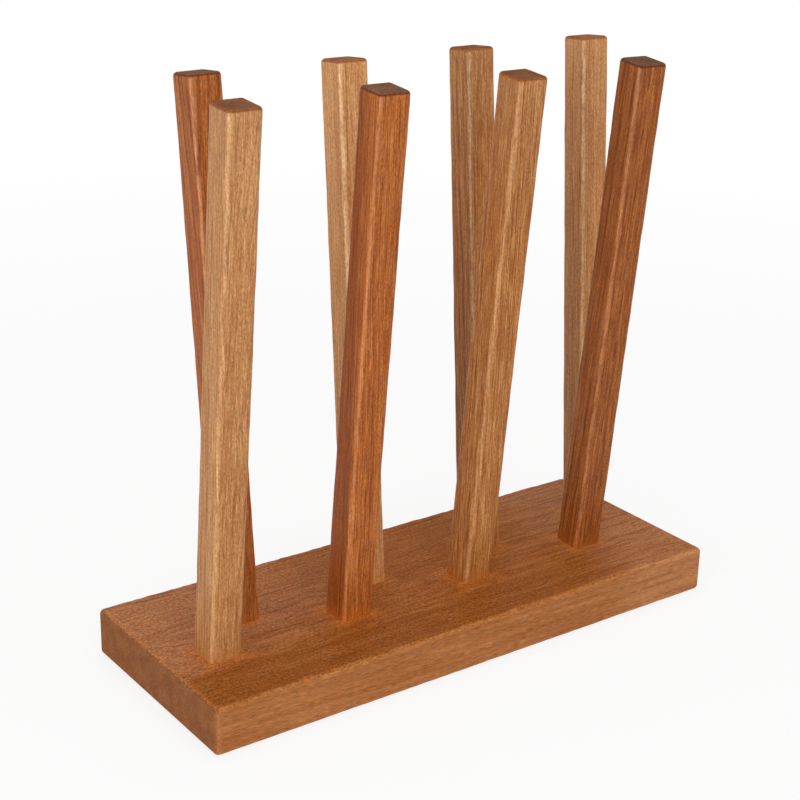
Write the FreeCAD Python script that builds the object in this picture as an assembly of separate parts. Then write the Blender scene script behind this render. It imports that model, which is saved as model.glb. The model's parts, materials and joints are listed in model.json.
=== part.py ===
import FreeCAD, Part
import os

# Boot rack in solid oak: one thick board that lies on the floor, and two rows of square posts on it.
# Boots hang upside down on the posts. The front row leans forward and the back row leans back, and
# the back posts stand between the front ones. One long screw from beneath pulls each post's foot
# down on the board.
#
# Millimetres. +Z is up, +X runs along the board, and the front row is on the -Y side.
# The origin is the centre of the board's underside.

# Base board
BOARD_LENGTH = 550.0
BOARD_WIDTH = 210.0
BOARD_THICKNESS = 45.0
BOARD_EDGE_RADIUS = 5.0

# Posts. A post's length runs along its own axis, from the board's top face to the middle of its top.
POST_SIDE = 31.0
POST_LENGTH = 480.0
POST_CORNER_RADIUS = 4.4
POST_TOP_RADIUS = 3.8
POST_LEAN = 5.0

# Where the posts' axes meet the board's top face: the distance between the rows, and for each row the
# distance from the board's left end to the first post, and from the last post to the right end
ROW_SPACING = 47.0
FRONT_LEFT_MARGIN = 47.0
FRONT_RIGHT_MARGIN = 92.0
BACK_LEFT_MARGIN = 96.0
BACK_RIGHT_MARGIN = 43.0

# The posts are set by hand, each on a single screw, so no two stand quite alike. One entry for each post
# of the row, from left to right: its turn about its own axis, anticlockwise from above, its lean to the
# right, how much more than POST_LEAN it leans away from the other row, all three in degrees, and how far
# its foot stands to the right of its even place
FRONT_SETTINGS = ((0.0, 0.0, 0.0, 2.0), (-1.0, 0.0, 0.0, 0.0), (0.0, 0.2, 0.2, 0.0), (-4.0, 0.1, 0.0, 0.8))
BACK_SETTINGS = ((0.0, -0.5, 0.5, 0.0), (0.0, 0.0, 0.0, 0.0), (0.0, 0.1, -0.1, 0.0), (-3.0, 0.3, 0.0, 0.0))

# Countersunk wood screws, 6 x 100, with a 90 degree head and a cross recess
SCREW_LENGTH = 100.0
SCREW_HEAD_DIAMETER = 11.6
SCREW_HEAD_RIM = 0.6
SCREW_SHANK_DIAMETER = 4.3
SCREW_THREAD_DIAMETER = 6.0
SCREW_CORE_DIAMETER = 3.9
SCREW_THREAD_LENGTH = 54.0
SCREW_THREAD_PITCH = 3.0
SCREW_POINT_LENGTH = 6.0
SCREW_RECESS_LENGTH = 6.0
SCREW_RECESS_WIDTH = 1.5
SCREW_RECESS_DEPTH = 2.8

# Holes for the screws: how far a head lies inside the board, and the play on the radius round the head,
# round the thread where it passes through the board, and round the thread in the post
HEAD_SINK = 4.0
HEAD_PLAY = 0.7
PASSING_PLAY = 0.25
THREAD_PLAY = 0.05

UP = FreeCAD.Vector(0, 0, 1)
RIGHT = FreeCAD.Vector(1, 0, 0)
BACK = FreeCAD.Vector(0, 1, 0)
MATCH = 0.001


def turned(profile):
    """Solid of revolution about the Z axis, from the (radius, z) points of its closed outline."""
    outline = Part.makePolygon([FreeCAD.Vector(radius, 0, z) for radius, z in profile + profile[:1]])
    return Part.Face(outline).revolve(FreeCAD.Vector(0, 0, 0), UP, 360)


def row_positions(left_margin, right_margin, count):
    """Even places of the posts of a row along X, between the row's two margins."""
    first = left_margin - BOARD_LENGTH / 2
    pitch = (BOARD_LENGTH - left_margin - right_margin) / (count - 1)
    return [first + pitch * index for index in range(count)]


def post_frame(x, y, forward_lean, right_lean, turn):
    """Placement of a post: +Z is its axis, and the origin is where that meets the board's top face."""
    lean = FreeCAD.Rotation(RIGHT, forward_lean).multiply(FreeCAD.Rotation(BACK, right_lean))
    rotation = lean.multiply(FreeCAD.Rotation(UP, turn))
    return FreeCAD.Placement(FreeCAD.Vector(x, y, BOARD_THICKNESS), rotation)


def screw_frame(frame):
    """Placement of the screw in a post's axis: the origin is the middle of its head's flat face."""
    axis_in_board = BOARD_THICKNESS / frame.Rotation.multVec(UP).z
    return frame.multiply(FreeCAD.Placement(UP * (HEAD_SINK - axis_in_board), FreeCAD.Rotation()))


def plank():
    """The board, with every edge rounded and no holes yet."""
    corner = FreeCAD.Vector(-BOARD_LENGTH / 2, -BOARD_WIDTH / 2, 0)
    blank = Part.makeBox(BOARD_LENGTH, BOARD_WIDTH, BOARD_THICKNESS, corner)
    return blank.makeFillet(BOARD_EDGE_RADIUS, blank.Edges)


def square_bar():
    """A post's bar along Z, with rounded long edges and a rounded arris round its top.

    It reaches below z = 0, so that the foot can be cut level with the board.
    """
    corner = FreeCAD.Vector(-POST_SIDE / 2, -POST_SIDE / 2, -POST_SIDE)
    blank = Part.makeBox(POST_SIDE, POST_SIDE, POST_LENGTH + POST_SIDE, corner)
    long_edges = [edge for edge in blank.Edges if edge.BoundBox.ZLength > POST_LENGTH]
    eased = blank.makeFillet(POST_CORNER_RADIUS, long_edges)
    top_edges = [edge for edge in eased.Edges if edge.BoundBox.ZMin > POST_LENGTH - MATCH]
    return eased.makeFillet(POST_TOP_RADIUS, top_edges)


def screw():
    """A screw along Z, with its head's flat face at z = 0 and a ridge for each turn of its thread."""
    head = SCREW_HEAD_DIAMETER / 2
    shank = SCREW_SHANK_DIAMETER / 2
    core = SCREW_CORE_DIAMETER / 2
    crest = SCREW_THREAD_DIAMETER / 2
    thread_start = SCREW_LENGTH - SCREW_THREAD_LENGTH
    thread_end = SCREW_LENGTH - SCREW_POINT_LENGTH
    profile = [(0, 0), (head, 0), (head, SCREW_HEAD_RIM), (shank, SCREW_HEAD_RIM + head - shank)]
    profile += [(shank, thread_start), (core, thread_start)]
    for ridge in range(int((thread_end - thread_start) / SCREW_THREAD_PITCH)):
        root = thread_start + ridge * SCREW_THREAD_PITCH
        profile += [(core, root + SCREW_THREAD_PITCH / 4), (crest, root + SCREW_THREAD_PITCH / 2)]
        profile += [(core, root + SCREW_THREAD_PITCH * 3 / 4)]
    profile += [(core, thread_end), (0, SCREW_LENGTH)]
    body = turned(profile)
    long_way, short_way = SCREW_RECESS_LENGTH, SCREW_RECESS_WIDTH
    for length, width in ((long_way, short_way), (short_way, long_way)):
        slot_corner = FreeCAD.Vector(-length / 2, -width / 2, 0)
        body = body.cut(Part.makeBox(length, width, SCREW_RECESS_DEPTH, slot_corner))
    return body


def board_hole():
    """The hole for a screw in the board, along Z: counterbore, countersink and clearance hole."""
    head = SCREW_HEAD_DIAMETER / 2
    bore = head + HEAD_PLAY
    hole = SCREW_THREAD_DIAMETER / 2 + PASSING_PLAY
    below, above = -2 * BOARD_THICKNESS, 2 * BOARD_THICKNESS
    seat_end = SCREW_HEAD_RIM + head - hole
    return turned([(0, below), (bore, below), (bore, SCREW_HEAD_RIM), (head, SCREW_HEAD_RIM),
                   (hole, seat_end), (hole, above), (0, above)])


def post_hole():
    """The hole for a screw in a post's foot, along Z, with the drill's point at its end."""
    radius = SCREW_THREAD_DIAMETER / 2 + THREAD_PLAY
    return turned([(0, 0), (radius, 0), (radius, SCREW_LENGTH), (0, SCREW_LENGTH + radius)])


def placed(shape, frame):
    """A copy of a shape in the given frame."""
    return shape.transformed(frame.toMatrix(), True)


def post(frame):
    """A post in its place, with its foot cut level with the board's top face and no hole yet."""
    reach = 2 * POST_SIDE
    corner = FreeCAD.Vector(frame.Base.x - reach, frame.Base.y - reach, BOARD_THICKNESS - reach)
    return placed(square_bar(), frame).cut(Part.makeBox(2 * reach, 2 * reach, reach, corner))


# Each row: its name, its distance from the board's middle line, and which way it leans
ROWS = (
    ("front", -ROW_SPACING / 2, 1, FRONT_LEFT_MARGIN, FRONT_RIGHT_MARGIN, FRONT_SETTINGS),
    ("back", ROW_SPACING / 2, -1, BACK_LEFT_MARGIN, BACK_RIGHT_MARGIN, BACK_SETTINGS),
)

os.makedirs("parts", exist_ok=True)
board = plank()
screws = []
for row, row_y, forward, left_margin, right_margin, settings in ROWS:
    post_xs = row_positions(left_margin, right_margin, len(settings))
    for number, (post_x, setting) in enumerate(zip(post_xs, settings), start=1):
        turn, right_lean, extra_lean, stray = setting
        frame = post_frame(post_x + stray, row_y, forward * (POST_LEAN + extra_lean), right_lean, turn)
        fixing = screw_frame(frame)
        board = board.cut(placed(board_hole(), fixing))
        drilled_post = post(frame).cut(placed(post_hole(), fixing))
        drilled_post.exportStep(f"parts/post_{row}_{number}.step")
        screws.append(placed(screw(), fixing))
board.exportStep("parts/base_board.step")
Part.makeCompound(screws).exportStep("parts/post_screws.step")
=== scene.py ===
"""Boot rack in oiled oak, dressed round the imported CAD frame.

A thick base board carries two rows of square posts that lean away from each other. A long countersunk
screw from beneath holds each post. Everything is in metres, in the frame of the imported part: +Z is up,
+X runs along the board, and the front row stands on the -Y side.
"""

from __future__ import annotations

import json
import logging
import math
from collections.abc import Iterable, Mapping, Sequence
from dataclasses import dataclass
from enum import Enum
from functools import partial
from typing import Any

import bpy
import numpy as np
from mathutils import Euler, Matrix, Vector

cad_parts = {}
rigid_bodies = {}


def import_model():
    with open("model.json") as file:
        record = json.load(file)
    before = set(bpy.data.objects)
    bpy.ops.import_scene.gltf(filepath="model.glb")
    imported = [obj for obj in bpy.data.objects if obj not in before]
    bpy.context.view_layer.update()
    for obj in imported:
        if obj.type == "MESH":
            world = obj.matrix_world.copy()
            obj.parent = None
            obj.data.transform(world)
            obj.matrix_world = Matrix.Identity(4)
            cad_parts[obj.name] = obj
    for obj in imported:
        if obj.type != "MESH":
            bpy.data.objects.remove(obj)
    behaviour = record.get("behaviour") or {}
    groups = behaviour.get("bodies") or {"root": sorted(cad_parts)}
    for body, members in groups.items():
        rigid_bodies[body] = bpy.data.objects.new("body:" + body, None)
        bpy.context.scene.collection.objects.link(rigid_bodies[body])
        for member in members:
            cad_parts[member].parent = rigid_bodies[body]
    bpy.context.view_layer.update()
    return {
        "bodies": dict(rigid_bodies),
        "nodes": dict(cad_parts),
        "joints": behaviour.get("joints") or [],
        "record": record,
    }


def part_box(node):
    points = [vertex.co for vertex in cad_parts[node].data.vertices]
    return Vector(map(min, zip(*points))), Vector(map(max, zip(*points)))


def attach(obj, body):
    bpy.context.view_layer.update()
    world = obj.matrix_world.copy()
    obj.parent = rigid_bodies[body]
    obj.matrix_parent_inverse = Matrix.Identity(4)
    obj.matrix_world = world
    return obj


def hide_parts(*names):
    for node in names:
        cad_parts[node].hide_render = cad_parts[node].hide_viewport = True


LOG = logging.getLogger("boot_rack")
MM = 0.001
BODY = "root"

# Sizes that more than one piece follows: the board, and how far a screw's head lies inside it.
BOARD_LENGTH = 550.0 * MM
BOARD_THICKNESS = 45.0 * MM
SCREW_SINK = 4.0 * MM

# Steps round a rounded edge, and the turn in degrees past which an edge between two faces stays sharp.
ARC_STEPS = 8
CREASE_DEG = 35.0

# Number of sines in the unevenness of an edge, and what their sum is divided by to stay near -1 to 1.
HAND_SINES = 8
HAND_DIVISOR = 3.0

# Mesh attributes: how far a point is up a rounded edge, and how near it is to where a post meets the board.
ARRIS = "arris"
JOINT = "joint"
JOINT_REACH = 16.0 * MM

# Kinds of node that are used often. The numbered inputs of a Map Range are its value (0), the range that
# this comes from (1 and 2) and the range that it goes to (3 and 4). A range that isn't given is 0 to 1.
# SMOOTH eases it in and out.
MATH = "ShaderNodeMath"
VECTOR = "ShaderNodeVectorMath"
NOISE = "ShaderNodeTexNoise"
MIX = "ShaderNodeMix"
RANGE = "ShaderNodeMapRange"
SMOOTH = {"interpolation_type": "SMOOTHSTEP"}

# Input numbers of a Mix node: its share, then the two numbers or the two colours that it mixes. COLOURS
# makes it mix colours and give the colour back.
SHARE = 0
NUMBER_A = 2
NUMBER_B = 3
COLOUR_A = 6
COLOUR_B = 7
COLOURS = {"out": 2, "data_type": "RGBA"}

Socket = bpy.types.NodeSocket
Colour = tuple[float, float, float, float]
WHITE: Colour = (1.0, 1.0, 1.0, 1.0)


# ---------------------------------------------------------------------------------------------------
# Colours and nodes
# ---------------------------------------------------------------------------------------------------


def linear(colour: str) -> Colour:
    """Turn an sRGB hex colour into linear light.

    The darkest parts follow a straight line, and the rest a power of 2.4, as the standard says.

    Args:
        colour: Six hex digits, such as "a9673d".

    Returns:
        Red, green and blue in linear light, and an alpha of 1.
    """
    parts = [int(colour[i : i + 2], 16) / 255.0 for i in (0, 2, 4)]
    light = [c / 12.92 if c <= 0.04045 else ((c + 0.055) / 1.055) ** 2.4 for c in parts]
    return light[0], light[1], light[2], 1.0


def add_node(
    tree: bpy.types.NodeTree,
    kind: str,
    inputs: Mapping[str | int, Any] | None = None,
    out: str | int = 0,
    **settings: Any,
) -> Socket | None:
    """Add one node with its settings, and link or fill its inputs.

    Args:
        tree: Node tree that gets the node.
        kind: Blender's name of the node's type.
        inputs: For an input, by its name or number, the output to link it to or the value to give it.
        out: The output to give back, by its name or number.
        **settings: The node's own attributes.

    Returns:
        That output, or nothing from a node that has none.
    """
    node = tree.nodes.new(kind)
    for name, value in settings.items():
        setattr(node, name, value)
    for key, value in (inputs or {}).items():
        socket = node.inputs[key]
        if isinstance(value, Socket):
            tree.links.new(value, socket)
        else:
            socket.default_value = value
    return node.outputs[out] if node.outputs else None


def new_material(name: str) -> tuple[bpy.types.Material, bpy.types.NodeTree]:
    """Make a material with an empty node tree.

    Args:
        name: Name of the material.

    Returns:
        The material and its node tree.
    """
    material = bpy.data.materials.new(name)
    material.use_nodes = True
    material.node_tree.nodes.clear()
    return material, material.node_tree


# ---------------------------------------------------------------------------------------------------
# Surfaces
# ---------------------------------------------------------------------------------------------------


def closed_surface(rings: np.ndarray, first: np.ndarray, last: np.ndarray) -> tuple[np.ndarray, list]:
    """Join a stack of rings into one closed surface.

    Ring i and ring i + 1 are joined by one quad for each pair of neighbouring points, and the first and
    the last ring are closed by triangles to a pole. Rings that run anticlockwise, seen from where the
    stack is heading, give faces that point outwards.

    Args:
        rings: Points, as rings x points in a ring x 3.
        first: The pole before the first ring.
        last: The pole after the last ring.

    Returns:
        The points, one to a row, and the faces as arrays of point numbers.
    """
    count, around = rings.shape[:2]
    points = np.concatenate([first[None], rings.reshape(-1, 3), last[None]])
    here = np.arange(around)
    after = (here + 1) % around
    start = 1 + around * np.arange(count - 1)[:, None]
    quads = np.stack([start + here, start + after, start + around + after, start + around + here], -1)
    end = 1 + around * (count - 1)
    fan_in = np.stack([np.zeros_like(here), 1 + after, 1 + here], -1)
    fan_out = np.stack([np.full_like(here, end + around), end + here, end + after], -1)
    return points, [quads.reshape(-1, 4), fan_in, fan_out]


def mesh_object(name: str, points: np.ndarray, faces: list) -> bpy.types.Object:
    """Put a surface into a new mesh object at the origin, smooth but for its creases.

    Args:
        name: Name of the object and its mesh.
        points: Points in metres, one to a row.
        faces: Arrays of point numbers, each with one face to a row.

    Returns:
        The new object, linked to the scene.
    """
    sizes = np.concatenate([np.full(len(block), block.shape[1]) for block in faces])
    mesh = bpy.data.meshes.new(name)
    mesh.vertices.add(len(points))
    mesh.vertices.foreach_set("co", points.astype(np.float32).ravel())
    mesh.loops.add(int(sizes.sum()))
    mesh.loops.foreach_set("vertex_index", np.concatenate([block.ravel() for block in faces]))
    mesh.polygons.add(len(sizes))
    mesh.polygons.foreach_set("loop_start", np.concatenate([[0], np.cumsum(sizes)[:-1]]))
    mesh.update(calc_edges=True)
    mesh.validate()
    smooth_with_creases(mesh)
    obj = bpy.data.objects.new(name, mesh)
    bpy.context.scene.collection.objects.link(obj)
    return obj


def placed(points: np.ndarray, frame: Matrix) -> np.ndarray:
    """Carry points, one to a row, from a frame into the scene: turn each, then add the frame's place."""
    return points @ np.array(frame.to_3x3()).T + np.array(frame.translation)


def mark(obj: bpy.types.Object, name: str, values: np.ndarray) -> None:
    """Store one number from 0 to 1 for each point of a mesh."""
    layer = obj.data.attributes.new(name, "FLOAT", "POINT")
    layer.data.foreach_set("value", np.clip(values, 0.0, 1.0).astype(np.float32).ravel())


def smooth_with_creases(mesh: bpy.types.Mesh) -> None:
    """Shade a mesh smooth, and keep the edges sharp that turn by more than CREASE_DEG degrees."""
    mesh.polygons.foreach_set("use_smooth", np.ones(len(mesh.polygons), bool))
    mesh.set_sharp_from_angle(angle=math.radians(CREASE_DEG))


def eased_sections(
    half_width: np.ndarray,
    half_height: np.ndarray,
    radii: np.ndarray,
    side_steps: tuple[np.ndarray, np.ndarray],
) -> tuple[np.ndarray, np.ndarray, np.ndarray]:
    """Rectangles with rounded corners, one for each ring along a bar.

    A corner is a quarter circle of ARC_STEPS equal steps. Its centre lies one radius inside both sides.
    The points of a side lie on the straight line between two corners.

    Args:
        half_width: Half of the first size, one for each ring.
        half_height: Half of the second size, one for each ring.
        radii: Corner radii, rings x 4, anticlockwise from the corner where both sizes are positive.
        side_steps: Where the points of the wide and of the high sides stand, from 0 to 1.

    Returns:
        Points and outward normals, each as rings x points in a ring x 2, and for each point in a ring
        how far it is up its rounded corner: 1 in the middle of the corner, 0 on a flat side.
    """
    points = []
    normals = []
    arris = []
    signs = np.array([[1, 1], [-1, 1], [-1, -1], [1, -1]], float)
    halves = np.stack([half_width, half_height], -1)[:, None, :]
    centres = signs * (halves - radii[..., None])
    turn = np.linspace(0.0, math.pi / 2, ARC_STEPS + 1) + math.pi / 2 * np.arange(4)[:, None]
    outward = np.stack([np.cos(turn), np.sin(turn)], -1)
    arcs = centres[:, :, None] + radii[:, :, None, None] * outward
    for corner in range(4):
        steps = side_steps[corner % 2][None, :, None]
        start = arcs[:, corner, -1][:, None]
        end = arcs[:, (corner + 1) % 4, 0][:, None]
        side = start + (end - start) * steps
        points += [arcs[:, corner], side]
        facing = np.broadcast_to(outward[corner, -1], side.shape)
        normals += [np.broadcast_to(outward[corner], arcs[:, corner].shape), facing]
        arris += [np.sin(2.0 * (turn[corner] - turn[corner, 0])), np.zeros(len(side_steps[corner % 2]))]
    return np.concatenate(points, 1), np.concatenate(normals, 1), np.concatenate(arris)


def hand_wave(along: np.ndarray, waves: tuple[float, float], rng: np.random.Generator) -> np.ndarray:
    """How far hand sanding strays along an edge, from about -1 to 1.

    It is the sum of HAND_SINES sines over HAND_DIVISOR. Their wavelengths are spread evenly by ratio
    between the two given, and each starts at a random phase.

    Args:
        along: Distances along the edge, in metres.
        waves: Shortest and longest wavelength, in metres.
        rng: Source of the phases.

    Returns:
        One value for each distance.
    """
    lengths = np.geomspace(*waves, HAND_SINES)
    phases = rng.uniform(0.0, 2.0 * math.pi, HAND_SINES)
    return np.sin(2.0 * math.pi * along[:, None] / lengths + phases).sum(1) / HAND_DIVISOR


def turned_surface(profile: np.ndarray, around: int) -> tuple[np.ndarray, list]:
    """Turn a profile round the Z axis into a closed surface.

    Point j of a ring stands at j / around of a full turn, at the profile's radius and height.

    Args:
        profile: Radius and height, one to a row. The first and the last lie on the axis.
        around: Number of points in a ring.

    Returns:
        Points and faces, as closed_surface gives them.
    """
    turn = np.linspace(0.0, 2.0 * math.pi, around, endpoint=False)
    radius = profile[1:-1, 0][:, None]
    height = np.broadcast_to(profile[1:-1, 1][:, None], (len(profile) - 2, around))
    rings = np.stack([radius * np.cos(turn), radius * np.sin(turn), height], -1)
    poles = np.array([[0.0, 0.0, profile[0, 1]], [0.0, 0.0, profile[-1, 1]]])
    return closed_surface(rings, poles[0], poles[1])


# ---------------------------------------------------------------------------------------------------
# Finishes
# ---------------------------------------------------------------------------------------------------


@dataclass(frozen=True)
class Log:
    """Where a piece lay in its tree, which decides the figure on its faces.

    Attributes:
        heart: A point on the middle line of the tree, in metres.
        euler: Turn of the frame whose Z axis runs up the tree.
        offset: Shift of the random patterns in millimetres, so that no two pieces match.
        tone: How bright the piece's wood is beside that of others from the same oak, raised on the
        back row as painted light against the shade that the front row casts.
        wear_highlight: How much its rounded edges are rubbed, and how strong their painted highlight is,
            beside
        those of others from the same oak.
        heartwood_rings: Number of rings from the heart outwards that are darker heartwood, if any show.
    """

    heart: Vector
    euler: Euler
    offset: tuple[float, float, float]
    tone: float = 1.0
    wear_highlight: float = 1.0
    heartwood_rings: int = 0

    @property
    def up_the_tree(self) -> Vector:
        """Direction of the grain."""
        return self.euler.to_matrix() @ Vector((0.0, 0.0, 1.0))


@dataclass(frozen=True)
class OiledOak:
    """European oak, planed, sanded along the grain and wiped with oil.

    The oil gives a warm, satin surface. The yearly rings show as rows of open pores, which hold more oil
    and look like thin dark dashes. Rounded edges are rubbed paler and more polished, and their paler colour
    also carries a painted highlight. Where the grain starts to run out of an edge the oil soaks in and
    darkens it.

    Attributes:
        name: Name of the material.
        ground: Colour of the wood between the rings.
        pale: Colour of the lighter streaks and fibres.
        deep: Colour of the darker streaks and fibres.
        pore: Colour of the oil in the pores.
        end: Colour of the end grain.
        rim: Colour of the edge round the end grain.
        worn_highlight: Colour of the rounded long edges: worn wood, with a painted highlight in it.
        pooled_glow: Colour where a post meets the board: oil that stayed there, lightened as a painted glow
            of
        light bounced between post and board.
        top_sheen: Colour of a painted sheen that a post leans to at its top, or nothing.
        ring_mm: Width of a yearly ring.
        sway_mm: How far the rings stray sideways from straight.
        sway_length_mm: Length along the grain over which they do.
        streak_mm: Width and length of the light and dark streaks.
        fibre_mm: Width and length of the bundles of fibres.
        streak: How strong the streaks are, from 0 to 1.
        fibre: How strong the bundles of fibres are, from 0 to 1.
        line: How dark the rows of pores are, from 0 to 1.
        fleck: How dark the single pores are, from 0 to 1.
        grit: How far the brightness of sanded spots strays from the mean.
        grit_mm: Width and length of those spots.
        rubbed_highlight: How much the rounded edges take on the worn colour and its painted highlight, from
            0 to 1.
        rub_focus: How closely the rubbing keeps to the middle of a rounded edge. A higher power is closer.
        soaked: How much the edge round the end grain takes on the colour of the rim, from 0 to 1.
        roughness: Roughness of the oiled surface.
        end_roughness: Roughness of the end grain, whose open pores scatter the light.
        gloss: Specular level, which is low where the oil has soaked in and left the surface dry.
        polish: How much of a polished film the rubbing leaves on the rounded edges.
        polish_roughness: Roughness of that film.
        ior: Refractive index of the oil.
        relief_mm: Depth of the pores and height of the fibres.
        relief: How much of that relief the light shows, from 0 to 1.
    """

    name: str
    ground: str
    pale: str
    deep: str
    pore: str
    end: str
    rim: str
    worn_highlight: str
    pooled_glow: str
    top_sheen: str = ""
    ring_mm: float = 2.2
    sway_mm: float = 2.0
    sway_length_mm: float = 260.0
    streak_mm: tuple[float, float] = (6.0, 350.0)
    fibre_mm: tuple[float, float] = (1.15, 55.0)
    streak: float = 0.4
    fibre: float = 0.9
    line: float = 0.65
    fleck: float = 0.35
    grit: float = 0.2
    grit_mm: tuple[float, float] = (1.1, 2.6)
    rubbed_highlight: float = 0.5
    rub_focus: float = 3.0
    soaked: float = 0.85
    roughness: float = 0.47
    end_roughness: float = 0.95
    gloss: float = 0.2
    polish: float = 1.1
    polish_roughness: float = 0.36
    ior: float = 1.48
    relief_mm: float = 0.12
    relief: float = 0.25

    def surface(self, tree: bpy.types.NodeTree, log: Log) -> OakSurface:
        """The patterns of a piece, as nodes in its material's tree."""
        return OakSurface(tree, self, log)

    def material(self, log: Log) -> bpy.types.Material:
        """Make the material of a piece.

        Args:
            log: Where the piece lay in its tree.

        Returns:
            The material.
        """
        material, tree = new_material(self.name)
        shader = self.surface(tree, log).shader()
        add_node(tree, "ShaderNodeOutputMaterial", {"Surface": shader})
        return material


@dataclass(frozen=True, kw_only=True)
class OiledPlank(OiledOak):
    """The oak of the board, with painted sheen and painted shade on its top, and a finer grain on its sides.

    Attributes:
        sheen_patch: Colour of the painted sheen on the back left quarter and the right end of the top.
        shaded_band: Colour of the painted shade along the board's front.
        side: Colour that the sides lean to below the top face.
    """

    sheen_patch: str
    shaded_band: str
    side: str

    def surface(self, tree: bpy.types.NodeTree, log: Log) -> PlankSurface:
        """The patterns of the board, as nodes in its material's tree."""
        return PlankSurface(tree, self, log)


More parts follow.
